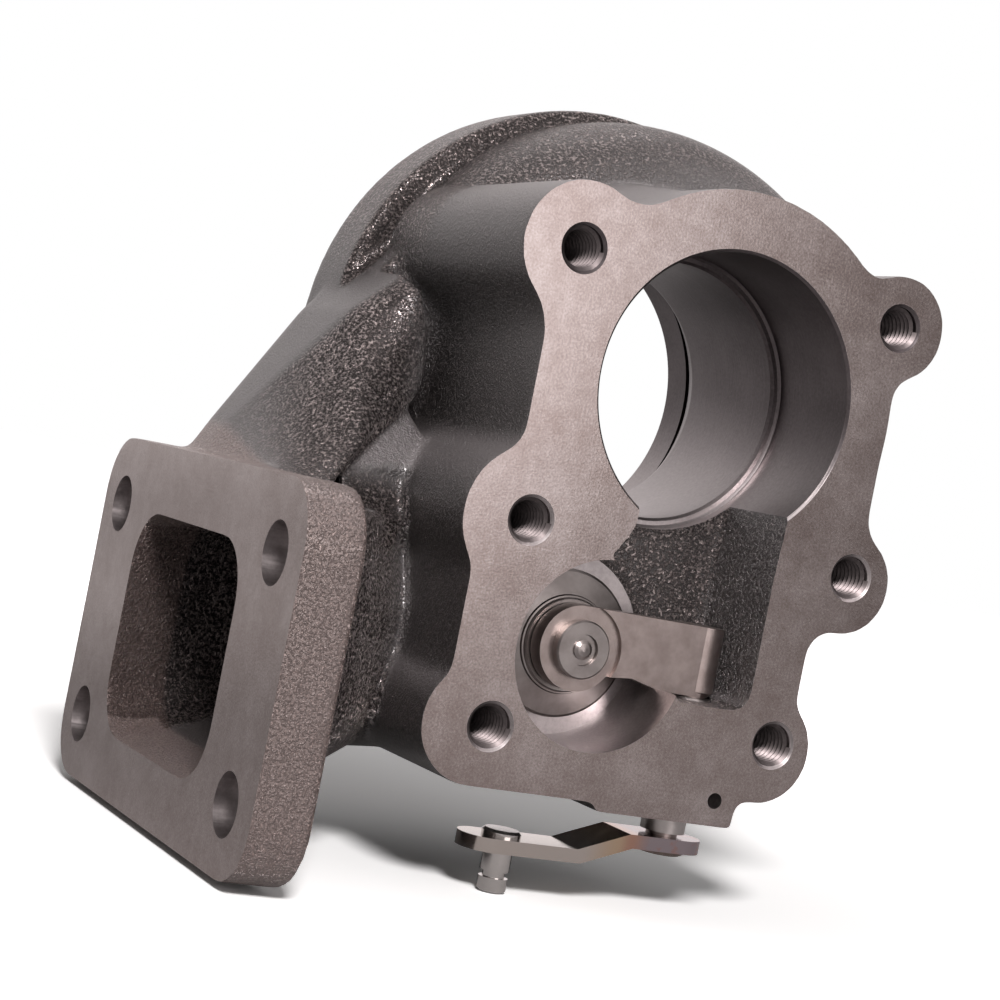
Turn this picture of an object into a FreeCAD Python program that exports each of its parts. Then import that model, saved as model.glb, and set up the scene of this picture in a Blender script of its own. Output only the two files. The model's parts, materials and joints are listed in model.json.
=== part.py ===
import FreeCAD, Part
import math
import os
import Sketcher

# Turbocharger turbine housing with an internal wastegate, millimetres.
# X to the right of the outlet face, Y along the wheel bore away from that face, Z up.
# The origin is the bore centre on the machined outlet face.

doc = FreeCAD.newDocument("turbine_housing")

# Sizes sheet
SIZES = [
    # outlet bore and the contour the wheel runs in
    ("bore_r", 26.25), ("bore_depth", 23.7), ("throat_r", 24.45), ("throat_end", 54.7),
    ("contour_r", 25.3), ("contour_mid_r", 27.2), ("contour_mid", 60.0),
    ("contour_end_r", 30.5), ("contour_end", 61.5), ("bore_chamfer", 0.5),
    # slot that feeds the wheel, back wall and register for the bearing housing
    ("slot_r", 42.0), ("slot_back", 67.4), ("wheel_open_r", 30.7), ("register_y", 75.0),
    ("register_r", 43.0), ("back_y", 77.5), ("rim_r", 54.7), ("rim_front", 60.5),
    ("rim_chamfer", 1.6), ("core_r", 37.5), ("core_back_r", 39.5), ("back_hole_pcd_r", 48.9),
    ("back_hole_depth", 10.0),
    # outlet flange outline
    ("tl_x", -34.46), ("tl_z", 19.9), ("tl_r", 12.0),
    ("tr_x", 34.1), ("tr_z", 19.7), ("tr_r", 9.8),
    ("rl_x", 34.2), ("rl_z", -28.0), ("rl_lobe_x", 33.3), ("rl_lobe_z", -29.2), ("rl_r", 9.6),
    ("br_x", 24.3), ("br_z", -61.3), ("br_lobe_x", 22.2), ("br_lobe_z", -62.3), ("br_r", 10.2),
    ("bl_x", -34.4), ("bl_z", -65.3), ("bl_lobe_x", -36.9), ("bl_r", 10.9),
    ("ml_x", -34.4), ("ml_z", -28.5), ("ml_r", 13.3),
    ("side_right", 35.5), ("side_low_right", 27.7), ("side_left", 38.9), ("side_low_left", 44.0),
    ("foot_right", 18.6), ("foot_left", -10.5), ("foot_bottom", -77.8), ("foot_depth", 24.0),
    ("body_depth", 58.0),
    # threaded holes M8 in the outlet face, with the small blind locating hole
    ("m8_drill_r", 3.4), ("m8_mouth_r", 4.2), ("m8_depth", 20.0), ("m8_cone", 0.8),
    ("dowel_x", 14.1), ("dowel_z", -73.0), ("dowel_r", 1.5), ("dowel_depth", 6.0),
    # inlet flange and its opening
    ("inlet_x", -84.0), ("inlet_thick", 11.0), ("inlet_y", 32.3), ("inlet_z", -61.7),
    ("inlet_long", 108.4), ("inlet_high", 66.8), ("inlet_corner", 11.0),
    ("inlet_pitch_y", 84.8), ("inlet_pitch_z", 41.6), ("inlet_hole_y", 32.8), ("inlet_hole_z", -62.1),
    ("inlet_hole_r", 5.5),
    # wastegate pocket, port and seat
    ("port_x", -15.1), ("port_z", -50.1), ("port_mouth_r", 17.4), ("port_r", 10.5),
    ("seat_y", 19.0), ("pocket_y", 21.0), ("pocket_right", 17.3), ("pocket_top_right", 18.3),
    ("pocket_floor", -56.0),
    ("pocket_top", -12.0), ("pocket_left", -24.0), ("pocket_corner", 3.6), ("port_end", 40.0),
    # shaft, bush and arm
    ("shaft_x", 11.8), ("shaft_y", 12.3), ("shaft_r", 3.0), ("shaft_end", -85.6),
    ("bush_r", 4.25), ("bush_bore_r", 3.05), ("bush_top", -55.7), ("bush_end", -81.4),
    ("arm_front", 8.2), ("arm_back", 12.9), ("arm_top", -42.2), ("arm_low", -55.3),
    ("arm_waist", -53.8), ("arm_end_r", 4.3), ("arm_edge", 0.9), ("eye_x", -15.1), ("eye_z", -50.0),
    ("eye_r", 7.9), ("eye_face", 9.1), ("eye_bore_r", 2.9),
    # flap valve and its washer
    ("disc_r", 13.9), ("disc_front", 15.9), ("disc_crown", 14.5), ("hub_r", 8.8),
    ("hub_front", 13.3), ("stud_r", 2.85), ("stud_nose_r", 1.8), ("stud_nose", 6.7),
    ("stud_shoulder", 7.7), ("washer_r", 5.4), ("washer_front", 7.0),
    # crank lever and its pin
    ("lever_top", -82.1), ("lever_thick", 2.6), ("lever_drop", 3.9), ("lever_half", 5.5),
    ("lever_y", 12.2), ("lever_right", 14.0), ("lever_left", -24.6), ("lever_corner", 5.4),
    ("lever_spare", 8.0), ("ramp_right", 2.0), ("ramp_left", -8.4),
    ("pin_x", -21.7), ("pin_r", 2.75), ("rivet_r", 2.3), ("pin_head_r", 3.7),
    ("pin_head", 1.2), ("pin_groove_r", 2.1), ("pin_groove_top", -92.5),
    ("pin_groove_low", -93.7), ("pin_end", -96.3), ("weld_r", 5.0),
]
sheet = doc.addObject("Spreadsheet::Sheet", "Sizes")
for row, (name, value) in enumerate(SIZES, 1):
    sheet.set("A%d" % row, name)
    sheet.set("B%d" % row, "%.4f" % value)
    sheet.setAlias("B%d" % row, name)
doc.recompute()
V = FreeCAD.Vector


def size(name):
    """A size from the sheet; a leading minus turns its sign."""
    if isinstance(name, str):
        if name.startswith("-"):
            return -float(sheet.get(name[1:]))
        return float(sheet.get(name))
    return float(name)


def bound(name):
    """The expression that ties a dimension to its cell."""
    if name.startswith("-"):
        return "-Sizes." + name[1:]
    return "Sizes." + name


# Sketch helpers
def new_body(label):
    body = doc.addObject("PartDesign::Body", label)
    body.Label = label
    return body


def new_sketch(body, plane, offset=0.0, turn=0.0):
    """Sketch on an origin plane of the body, moved out along it or turned about its first axis."""
    sketch = body.newObject("Sketcher::SketchObject", "Sketch")
    role = plane + "_Plane"
    for item in body.Origin.OriginFeatures:
        if item.Role == role:
            sketch.AttachmentSupport = [(item, "")]
    sketch.MapMode = "FlatFace"
    turned = FreeCAD.Rotation(V(1, 0, 0), turn)
    sketch.AttachmentOffset = FreeCAD.Placement(turned.multVec(V(0, 0, offset)), turned)
    return sketch


def tie(sketch, kind, index, point, name):
    """Fix a point of the sketch from its origin by a number or a named size."""
    value = size(name)
    number = sketch.addConstraint(Sketcher.Constraint(kind, -1, 1, index, point, value))
    if isinstance(name, str):
        sketch.setExpression("Constraints[%d]" % number, bound(name))


def add_circle(sketch, across, up, radius):
    centre = V(size(across), size(up), 0)
    index = sketch.addGeometry(Part.Circle(centre, V(0, 0, 1), size(radius)), False)
    tie(sketch, "DistanceX", index, 3, across)
    tie(sketch, "DistanceY", index, 3, up)
    number = sketch.addConstraint(Sketcher.Constraint("Radius", index, size(radius)))
    if isinstance(radius, str):
        sketch.setExpression("Constraints[%d]" % number, bound(radius))


def add_polygon(sketch, corners):
    """Closed outline through corners given as numbers or named sizes."""
    first = sketch.GeometryCount
    count = len(corners)
    for i in range(count):
        a = corners[i]
        b = corners[(i + 1) % count]
        sketch.addGeometry(Part.LineSegment(V(size(a[0]), size(a[1]), 0),
                                            V(size(b[0]), size(b[1]), 0)), False)
    for i in range(count):
        here = first + i
        sketch.addConstraint(Sketcher.Constraint("Coincident", here, 2, first + (i + 1) % count, 1))
        tie(sketch, "DistanceX", here, 1, corners[i][0])
        tie(sketch, "DistanceY", here, 1, corners[i][1])


def add_rounded(sketch, corners, radii):
    """Closed outline with each corner rounded by its own radius, as lines and arcs."""
    count = len(corners)
    starts, ends, arcs = [], [], []
    for i in range(count):
        here = V(corners[i][0], corners[i][1], 0)
        back = (V(corners[i - 1][0], corners[i - 1][1], 0) - here).normalize()
        ahead = corners[(i + 1) % count]
        fore = (V(ahead[0], ahead[1], 0) - here).normalize()
        half = math.acos(max(-1, min(1, back.dot(fore)))) / 2
        run = radii[i] / math.tan(half)
        middle = here + (back + fore).normalize() * (radii[i] / math.sin(half))
        a = here + back * run
        b = here + fore * run
        near = middle + (here - middle).normalize() * radii[i]
        starts.append(b)
        ends.append(a)
        arcs.append(Part.Arc(a, near, b))
    for i in range(count):
        sketch.addGeometry(arcs[i], False)
        sketch.addGeometry(Part.LineSegment(starts[i], ends[(i + 1) % count]), False)


def pad(body, sketch, length, backwards=False, label=None):
    feature = body.newObject("PartDesign::Pad", "Pad")
    feature.Profile = sketch
    feature.Length = size(length)
    if isinstance(length, str):
        feature.setExpression("Length", "Sizes." + length)
    feature.Reversed = backwards
    body.Tip = feature
    if label:
        feature.Label = label
    return feature


def pocket(body, sketch, length, backwards=False):
    feature = body.newObject("PartDesign::Pocket", "Pocket")
    feature.Profile = sketch
    feature.Length = size(length)
    if isinstance(length, str):
        feature.setExpression("Length", "Sizes." + length)
    feature.Reversed = backwards
    body.Tip = feature
    return feature


def turned(body, sketch, cut=False):
    """Full turn about the first or second axis of the sketch."""
    kind = "PartDesign::Groove" if cut else "PartDesign::Revolution"
    feature = body.newObject(kind, "Turned")
    feature.Profile = sketch
    feature.ReferenceAxis = (sketch, ["V_Axis"])
    feature.Angle = 360
    body.Tip = feature
    return feature


def loft(body, sketches, cut=False, straight=False):
    kind = "PartDesign::SubtractiveLoft" if cut else "PartDesign::AdditiveLoft"
    feature = body.newObject(kind, "Loft")
    feature.Profile = sketches[0]
    feature.Sections = sketches[1:]
    feature.Ruled = straight
    feature.Closed = False
    body.Tip = feature
    return feature


# Housing: one iron casting
# On the XZ plane a sketch reads X across and Z up, and its normal points to -Y.
# A pad made backwards from it grows towards +Y, into the casting.
housing = new_body("housing")


# Neck from the inlet flange to the scroll: rounded sections square to X
def section(x, corners, radii):
    sketch = new_sketch(housing, "YZ", x)
    add_rounded(sketch, corners, radii)
    return sketch


neck = [
    section(-80.0, [(-3, -91), (-3, -41), (-1, -37), (60, -36), (70, -36), (70, -91)],
            [9, 4, 4, 2, 4, 9]),
    section(-72.0, [(-1, -86), (-1, -41), (1, -36), (57, -21), (70, -21), (70, -86)],
            [9, 5, 5, 6, 4, 9]),
    section(-58.0, [(10, -79), (10, -46), (15, -33), (43, 3), (71, 3), (71, -79)],
            [12, 8, 6, 7, 5, 12]),
    section(-46.0, [(22.5, -77), (22.5, -48), (31, -33), (39, 14), (72, 19), (72, -77)],
            [15, 9, 6, 6, 5, 12]),
    section(-22.0, [(29, -76), (29, -46), (37, -33), (53, 10), (72, 14), (72, -76)],
            [15, 9, 6, 6, 6, 12]),
    section(4.0, [(25.5, -70), (25.5, -34), (33, -25), (48, -23), (70.5, -25), (70.5, -70)],
            [18, 9, 5, 8, 14, 20]),
]
loft(housing, neck, False, True)

# Valley between the sloping shoulder of the neck and the columns of the body
valley = new_sketch(housing, "XZ", 5.0)
add_rounded(valley, [(-65.5, -30.5), (-60.7, -24.7), (-54.9, -18.5), (-44.4, -11.0), (-43.0, -5.0),
                     (-43.5, 2.0), (-45.8, 8.0), (-50.0, 13.8), (-50.0, 30.0), (-36.0, 30.0),
                     (-36.0, -31.0), (-57.0, -32.5)],
            [0.8, 3, 3, 4, 4, 4, 4, 3, 1, 1, 1, 3])
pocket(housing, valley, 58.0)

# Inlet flange
def flange_corners():
    y, z = size("inlet_y"), size("inlet_z")
    a, b = size("inlet_long") / 2, size("inlet_high") / 2
    return [(y - a, z - b), (y - a, z + b), (y + a, z + b), (y + a, z - b)]


flange = new_sketch(housing, "YZ", size("inlet_x"))
add_rounded(flange, flange_corners(), [size("inlet_corner")] * 4)
pad(housing, flange, "inlet_thick")


# Outline of the outlet flange: lobes round the bolt holes joined by hollow arcs
def circle_item(x, z, r):
    return ("circle", size(x), size(z), size(r))


def upright(x, side):
    return ("line", size(x), side)


def hollow_centre(first, second, r):
    """Centre of the hollow arc of radius r that touches two items from outside."""
    if first[0] == "circle" and second[0] == "circle":
        ax, az, ar = first[1:]
        bx, bz, br = second[1:]
        gap = math.hypot(bx - ax, bz - az)
        ux, uz = (bx - ax) / gap, (bz - az) / gap
        along = ((ar + r) ** 2 - (br + r) ** 2 + gap ** 2) / (2 * gap)
        out = math.sqrt((ar + r) ** 2 - along ** 2)
        return ax + ux * along - uz * out, az + uz * along + ux * out
    circle, line = (first, second) if first[0] == "circle" else (second, first)
    cx, cz, cr = circle[1:]
    px = line[1] + line[2] * r
    rise = math.sqrt((cr + r) ** 2 - (px - cx) ** 2)
    # the outline runs clockwise: down on the right, up on the left
    down = line[2] > 0
    before = circle is first
    sign = -1 if down == before else 1
    return px, cz + sign * rise


def touch(item, centre, r):
    """Where the hollow arc meets the item."""
    if item[0] == "line":
        return item[1], centre[1]
    dx, dz = centre[0] - item[1], centre[1] - item[2]
    reach = math.hypot(dx, dz)
    return item[1] + dx * item[3] / reach, item[2] + dz * item[3] / reach


foot_level = size("bl_z") - size("bl_r")
ring = [
    (circle_item("tl_x", "tl_z", "tl_r"), 9.0),
    (circle_item(0, 0, "core_r"), 6.0),
    (circle_item("tr_x", "tr_z", "tr_r"), 5.0),
    (upright("side_right", 1), 7.0),
    (circle_item("rl_lobe_x", "rl_lobe_z", "rl_r"), 5.0),
    (upright("side_low_right", 1), 4.0),
    (circle_item("br_lobe_x", "br_lobe_z", "br_r"), 2.5),
    (upright("foot_right", 1), None),
    (circle_item("bl_lobe_x", "bl_z", "bl_r"), 5.0),
    (upright("-side_low_left", -1), 6.0),
    (circle_item("ml_x", "ml_z", "ml_r"), 6.0),
    (upright("-side_left", -1), 12.0),
]
joints = []
for i, (item, r) in enumerate(ring):
    follower = ring[(i + 1) % len(ring)][0]
    if r is None:
        joints.append(None)
        continue
    centre = hollow_centre(item, follower, r)
    joints.append((centre, r, touch(item, centre, r), touch(follower, centre, r)))

face = new_sketch(housing, "XZ")
count = len(ring)
for i, (item, r) in enumerate(ring):
    before, after = joints[i - 1], joints[i]
    begin = before[3] if before else (size("bl_lobe_x"), foot_level)
    finish = after[2] if after else (size("foot_right"), foot_level)
    if item[0] == "circle":
        mid = V(begin[0] + finish[0], 0, begin[1] + finish[1]) * 0.5
        a0 = math.atan2(begin[1] - item[2], begin[0] - item[1])
        a1 = math.atan2(finish[1] - item[2], finish[0] - item[1])
        if a1 > a0:
            a1 -= 2 * math.pi
        am = (a0 + a1) / 2
        middle = V(item[1] + item[3] * math.cos(am), item[2] + item[3] * math.sin(am), 0)
        face.addGeometry(Part.Arc(V(*begin, 0), middle, V(*finish, 0)), False)
    else:
        face.addGeometry(Part.LineSegment(V(*begin, 0), V(*finish, 0)), False)
    if after is None:
        face.addGeometry(Part.LineSegment(V(*finish, 0), V(size("bl_lobe_x"), foot_level, 0)), False)
        continue
    centre, radius, begin, finish = after
    towards = V((begin[0] + finish[0]) / 2 - centre[0], (begin[1] + finish[1]) / 2 - centre[1], 0)
    middle = V(*centre, 0) + towards.normalize() * radius
    face.addGeometry(Part.Arc(V(*begin, 0), middle, V(*finish, 0)), False)
body_pad = pad(housing, face, "body_depth", True, "columns")

# Foot under the outlet face that carries the shaft bush
foot = new_sketch(housing, "XZ")
add_polygon(foot, [("foot_left", "foot_bottom"), ("foot_right", "foot_bottom"),
                   ("foot_right", -68.0), ("foot_left", -68.0)])
pad(housing, foot, "foot_depth", True)

# Core round the bore and the rim that takes the bearing housing: one turned shape
# On the XY plane a sketch reads X as radius and Y along the bore
core = new_sketch(housing, "XY")
add_polygon(core, [(0.0, 0.4), (36.0, 0.4), ("core_back_r", 42.0), (47.0, "rim_front"),
                   ("rim_r", "rim_front"), ("rim_r", size("back_y") - size("rim_chamfer")),
                   (size("rim_r") - size("rim_chamfer"), "back_y"),
                   (0.0, "back_y")])
turned(housing, core)

# Scroll: round sections set about the bore, growing towards the inlet side
SCROLL = [(-94, 17.5, 47.0), (-70, 17.0, 46.5), (-45, 16.0, 45.0), (-20, 15.2, 43.9),
          (5, 14.2, 42.6), (30, 13.2, 41.0), (60, 11.9, 38.8), (90, 10.5, 37.0),
          (120, 9.2, 36.0), (150, 7.9, 35.2), (180, 6.6, 34.5), (208, 5.4, 34.0)]
SCROLL_BACK = 65.5
WALL = 5.5


def scroll_sections(extra):
    """Circles of the scroll, extra millimetres larger than the gas passage."""
    made = []
    for angle, radius, reach in SCROLL:
        sketch = new_sketch(housing, "YZ", 0.0, 90.0 - angle)
        add_circle(sketch, SCROLL_BACK - radius, reach, radius + extra)
        made.append(sketch)
    return made


loft(housing, scroll_sections(WALL))


# Gas passage: neck, scroll and the slot that feeds the wheel
inlet = [
    section(-84.5, [(3.8, -83.4), (3.8, -41.1), (62.1, -41.1), (62.1, -83.4)], [11] * 4),
    section(-70.0, [(10.0, -80.0), (10.0, -40.0), (64.0, -40.0), (64.0, -80.0)], [11] * 4),
    section(-48.0, [(26.0, -72.5), (26.0, -35.0), (65.5, -35.0), (65.5, -72.5)], [13] * 4),
    section(-24.0, [(30.0, -67.5), (30.0, -31.5), (65.5, -31.5), (65.5, -67.5)], [15] * 4),
    section(2.0, [(30.5, -64.5), (30.5, -29.5), (65.5, -29.5), (65.5, -64.5)], [17] * 4),
]
loft(housing, inlet, True)
loft(housing, scroll_sections(0.0), True)

# Bore, contour, slot and register, all turned from both sides on one axis
bore = new_sketch(housing, "XY")
mouth_r = size("bore_r") + size("bore_chamfer") + 1.0
add_polygon(bore, [(0.0, -1.0), (mouth_r, -1.0), ("bore_r", "bore_chamfer"),
                   ("bore_r", "bore_depth"), ("throat_r", "bore_depth"),
                   ("throat_r", "throat_end"), ("contour_r", 56.2),
                   ("contour_mid_r", "contour_mid"), ("contour_end_r", "contour_end"),
                   ("slot_r", "contour_end"), ("slot_r", "slot_back"),
                   ("wheel_open_r", "slot_back"), ("wheel_open_r", "register_y"),
                   ("register_r", "register_y"), ("register_r", 79.0), (0.0, 79.0)])
turned(housing, bore, True)

# Wastegate pocket behind the outlet face, open to the bore above it
hollow = new_sketch(housing, "XZ")
left, right = size("pocket_left"), size("pocket_right")
low, high = size("pocket_floor"), size("pocket_top")
add_rounded(hollow, [(-13.6, high), (-13.2, -26.0), (-16.8, -31.8), (left, -35.4), (left, low),
                     (right, low), (right, -30.0), (size("pocket_top_right"), high)],
            [1, 6, 6, 1, 1, size("pocket_corner"), 12, 1])
pocket(housing, hollow, "pocket_y")

# Raised seat, machined mouth round it and the port through it
seat = new_sketch(housing, "XZ", -size("pocket_y") - 1.0)
add_circle(seat, "port_x", "port_z", "port_mouth_r")
pad(housing, seat, 3.0)
mouth = new_sketch(housing, "XZ")
add_circle(mouth, "port_x", "port_z", "port_mouth_r")
pocket(housing, mouth, "seat_y")
port = new_sketch(housing, "XZ")
add_circle(port, "port_x", "port_z", "port_r")
pocket(housing, port, "port_end")

# Bush hole up through the foot into the pocket
bush_hole = new_sketch(housing, "XY", -80.0)
add_circle(bush_hole, "shaft_x", "shaft_y", "bush_r")
pocket(housing, bush_hole, 30.0, True)

# Threaded holes of the outlet face: drilled core, cone at the mouth
BOLTS = [("tl_x", "tl_z"), ("tr_x", "tr_z"), ("rl_x", "rl_z"),
         ("br_x", "br_z"), ("bl_x", "bl_z"), ("ml_x", "ml_z")]
drill = new_sketch(housing, "XZ")
for across, up in BOLTS:
    add_circle(drill, across, up, "m8_drill_r")
pocket(housing, drill, "m8_depth")
countersink = new_sketch(housing, "XZ")
for across, up in BOLTS:
    add_circle(countersink, across, up, "m8_mouth_r")
cones = pocket(housing, countersink, "m8_cone")
cones.TaperAngle = -45
dowel = new_sketch(housing, "XZ")
add_circle(dowel, "dowel_x", "dowel_z", "dowel_r")
pocket(housing, dowel, "dowel_depth")

# Four clearance holes through the inlet flange
for side in (-0.5, 0.5):
    for level in (-0.5, 0.5):
        through = new_sketch(housing, "YZ", -62.0)
        y = size("inlet_hole_y") + side * size("inlet_pitch_y")
        z = size("inlet_hole_z") + level * size("inlet_pitch_z")
        add_circle(through, y, z, "inlet_hole_r")
        pocket(housing, through, 24.0)

# Six threaded holes in the back face for the bearing housing clamps
back = new_sketch(housing, "XZ", -size("back_y"))
for i in range(6):
    angle = math.radians(60 * i + 30)
    reach = size("back_hole_pcd_r")
    add_circle(back, reach * math.cos(angle), reach * math.sin(angle), "m8_drill_r")
pocket(housing, back, "back_hole_depth", True)

# Shaft bush, pressed into the foot
bush = new_body("shaft_bushing")
tube = new_sketch(bush, "XY", size("bush_end"))
add_circle(tube, "shaft_x", "shaft_y", "bush_r")
add_circle(tube, "shaft_x", "shaft_y", "bush_bore_r")
pad(bush, tube, size("bush_top") - size("bush_end"))

# Swing arm forged in one with its shaft
arm = new_body("wastegate_arm")
blade = new_sketch(arm, "XZ", -size("arm_front"))
waist_x, waist_z = -3.5, size("arm_waist")
eye_x, eye_z, eye_r = size("eye_x"), size("eye_z"), size("eye_r")
add_polygon(blade, [("eye_x", eye_z + eye_r), ("shaft_x", "arm_top"), ("shaft_x", "arm_low"),
                    (3.0, "arm_low"), (waist_x, waist_z), (eye_x + 5.2, waist_z - 0.6),
                    (eye_x + 3.2, eye_z - 7.0)])
pad(arm, blade, size("arm_back") - size("arm_front"), True)
eye = new_sketch(arm, "XZ", -size("arm_front"))
add_circle(eye, "eye_x", "eye_z", "eye_r")
pad(arm, eye, size("arm_back") - size("arm_front"), True)
boss_low = size("arm_low") + size("arm_edge")
boss = new_sketch(arm, "XY", boss_low)
add_circle(boss, "shaft_x", "shaft_y", "arm_end_r")
pad(arm, boss, size("arm_top") - boss_low)
boss_edge = new_sketch(arm, "XY", boss_low)
add_circle(boss_edge, "shaft_x", "shaft_y", "arm_end_r")
bevel = pad(arm, boss_edge, "arm_edge", True)
bevel.TaperAngle = -45
shaft = new_sketch(arm, "XY", size("shaft_end"))
add_circle(shaft, "shaft_x", "shaft_y", "shaft_r")
pad(arm, shaft, size("arm_low") + 1.0 - size("shaft_end"))
spot = new_sketch(arm, "XZ", -size("arm_front"))
add_circle(spot, "eye_x", "eye_z", eye_r + 0.5)
pocket(arm, spot, size("eye_face") - size("arm_front"))
hole = new_sketch(arm, "XZ")
add_circle(hole, "eye_x", "eye_z", "eye_bore_r")
pocket(arm, hole, 20.0)

# Flap valve: disc, hub and riveted stud turned in one, set on its own upright axis
valve = new_body("flap_valve")
outline = new_sketch(valve, "XY")
add_polygon(outline, [(0.0, "seat_y"), (13.4, "seat_y"), ("disc_r", 18.5), ("disc_r", 16.3),
                      (13.4, "disc_front"), (9.3, "disc_crown"), (9.1, 14.1), ("hub_r", 14.0),
                      ("hub_r", 13.6), (8.5, "hub_front"), ("stud_r", "hub_front"),
                      ("stud_r", "stud_shoulder"), ("stud_nose_r", "stud_shoulder"),
                      ("stud_nose_r", 7.3), (1.2, 6.9), (0.0, "stud_nose")])
turned(valve, outline)
valve.Placement.Base = V(size("port_x"), 0, size("port_z") + 0.1)

washer = new_body("valve_washer")
ring_outline = new_sketch(washer, "XY")
add_polygon(ring_outline, [(2.9, "eye_face"), ("washer_r", "eye_face"), ("washer_r", 7.3),
                           (5.1, "washer_front"), (2.9, "washer_front")])
turned(washer, ring_outline)
washer.Placement.Base = V(size("port_x"), 0, size("port_z") + 0.1)

# Crank lever: flat strip with one joggle, cut to a rounded plan
lever = new_body("crank_lever")
top, thick, drop = size("lever_top"), size("lever_thick"), size("lever_drop")
near = size("lever_y") - size("lever_half")
far = near + 2 * size("lever_half")
spare = size("lever_spare")
left_end = size("lever_left") - size("lever_half")
right_end = size("lever_right") + size("lever_half")
from_x, to_x = left_end - spare, right_end + spare
strip = new_sketch(lever, "XZ", -near)
lean = 0.9
add_polygon(strip, [(from_x, top - drop), ("ramp_left", top - drop), ("ramp_right", "lever_top"),
                    (to_x, "lever_top"), (to_x, top - thick), (size("ramp_right") + lean, top - thick),
                    (size("ramp_left") + lean, top - drop - thick), (from_x, top - drop - thick)])
pad(lever, strip, 2 * size("lever_half"), True)
below = size("pin_end")
through = top - below + 1.0
plan = new_sketch(lever, "XY", below)
add_polygon(plan, [(from_x - 1, near - 1), (to_x + 1, near - 1), (to_x + 1, far + 1),
                   (from_x - 1, far + 1)])
add_rounded(plan, [(left_end, near), (right_end, near), (right_end, far), (left_end, far)],
            [size("lever_corner")] * 4)
pocket(lever, plan, through, True)
lever_holes = new_sketch(lever, "XY", below)
add_circle(lever_holes, "shaft_x", "shaft_y", "shaft_r")
add_circle(lever_holes, "pin_x", "lever_y", "rivet_r")
pocket(lever, lever_holes, through, True)

# Pin for the actuator rod: riveted head, shoulder under the lever, clip groove near the end
pin = new_body("lever_pin")
low_top = top - drop
low_under = low_top - thick
pin_outline = new_sketch(pin, "XZ")
add_polygon(pin_outline, [(0.0, low_top + size("pin_head")), (3.2, low_top + size("pin_head")),
                          ("pin_head_r", low_top + 0.7), ("pin_head_r", low_top),
                          ("rivet_r", low_top), ("rivet_r", low_under), ("pin_r", low_under),
                          ("pin_r", "pin_groove_top"), ("pin_groove_r", "pin_groove_top"),
                          ("pin_groove_r", "pin_groove_low"), ("pin_r", "pin_groove_low"),
                          ("pin_r", size("pin_end") + 0.4), (2.35, "pin_end"), (0.0, "pin_end")])
turned(pin, pin_outline)
pin.Placement.Base = V(size("pin_x"), size("lever_y"), 0)

# Weld bead that holds the lever on the shaft end
weld = new_body("lever_weld")
bead = new_sketch(weld, "XZ")
under = top - thick
add_polygon(bead, [("shaft_r", under), ("weld_r", under), (4.7, under - 0.5), (4.0, under - 0.9),
                   ("shaft_r", under - 0.9)])
turned(weld, bead)
weld.Placement.Base = V(size("shaft_x"), size("shaft_y"), 0)

doc.recompute()
for item in doc.Objects:
    if "Invalid" in item.State or "Error" in item.State:
        raise ValueError("feature %s failed: %s" % (item.Name, item.State))
os.makedirs("parts", exist_ok=True)
for body in (housing, bush, arm, valve, washer, lever, pin, weld):
    shape = body.Shape
    if shape.isNull() or not shape.isValid() or len(shape.Solids) != 1:
        raise ValueError("shape %s is not one sound solid" % body.Label)
    box = shape.optimalBoundingBox()
    print(body.Label, round(shape.Volume), [round(n, 1) for n in (
        box.XMin, box.YMin, box.ZMin, box.XMax, box.YMax, box.ZMax)])
    shape.exportStep("parts/%s.step" % body.Label)
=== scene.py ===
# %% [markdown]
# # Turbine housing of a turbocharger
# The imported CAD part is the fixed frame. This lesson dresses it: the iron casting gets its soft
# foundry shape and rough skin back, the machined faces get their cutter marks, and the small steel
# parts of the bypass valve get their own finishes.
# Everything is in metres and sits where the CAD part is.

# %% Load the frame
import json
import math

import bpy
from mathutils import Matrix, Vector

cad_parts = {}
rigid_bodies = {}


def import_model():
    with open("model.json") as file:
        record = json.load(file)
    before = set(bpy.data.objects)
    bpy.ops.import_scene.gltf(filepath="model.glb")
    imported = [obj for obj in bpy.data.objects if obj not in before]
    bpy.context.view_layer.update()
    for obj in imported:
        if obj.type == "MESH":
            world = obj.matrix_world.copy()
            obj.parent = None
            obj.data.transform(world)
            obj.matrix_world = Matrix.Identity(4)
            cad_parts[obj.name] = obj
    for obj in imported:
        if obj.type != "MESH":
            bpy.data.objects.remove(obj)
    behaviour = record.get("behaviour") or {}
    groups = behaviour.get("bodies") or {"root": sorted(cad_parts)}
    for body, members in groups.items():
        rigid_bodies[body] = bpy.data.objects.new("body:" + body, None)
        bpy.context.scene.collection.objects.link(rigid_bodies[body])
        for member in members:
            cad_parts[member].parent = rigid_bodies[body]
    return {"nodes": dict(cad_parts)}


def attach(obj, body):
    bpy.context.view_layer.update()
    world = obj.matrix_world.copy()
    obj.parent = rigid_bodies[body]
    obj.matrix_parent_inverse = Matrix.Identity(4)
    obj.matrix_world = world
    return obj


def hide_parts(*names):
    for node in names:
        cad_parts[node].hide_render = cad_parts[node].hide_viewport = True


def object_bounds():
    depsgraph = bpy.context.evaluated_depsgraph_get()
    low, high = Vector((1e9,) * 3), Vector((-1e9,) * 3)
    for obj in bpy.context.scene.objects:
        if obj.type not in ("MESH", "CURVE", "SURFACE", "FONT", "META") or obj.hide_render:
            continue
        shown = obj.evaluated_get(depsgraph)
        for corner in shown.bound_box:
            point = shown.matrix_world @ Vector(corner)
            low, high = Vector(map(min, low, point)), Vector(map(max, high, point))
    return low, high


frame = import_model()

MM = 0.001
cad_box = [list(corner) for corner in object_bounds()]
bpy.ops.object.select_all(action="DESELECT")
print("nodes", sorted(frame["nodes"]))
print("CAD box in mm", [[round(v / MM, 1) for v in corner] for corner in cad_box])

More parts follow.
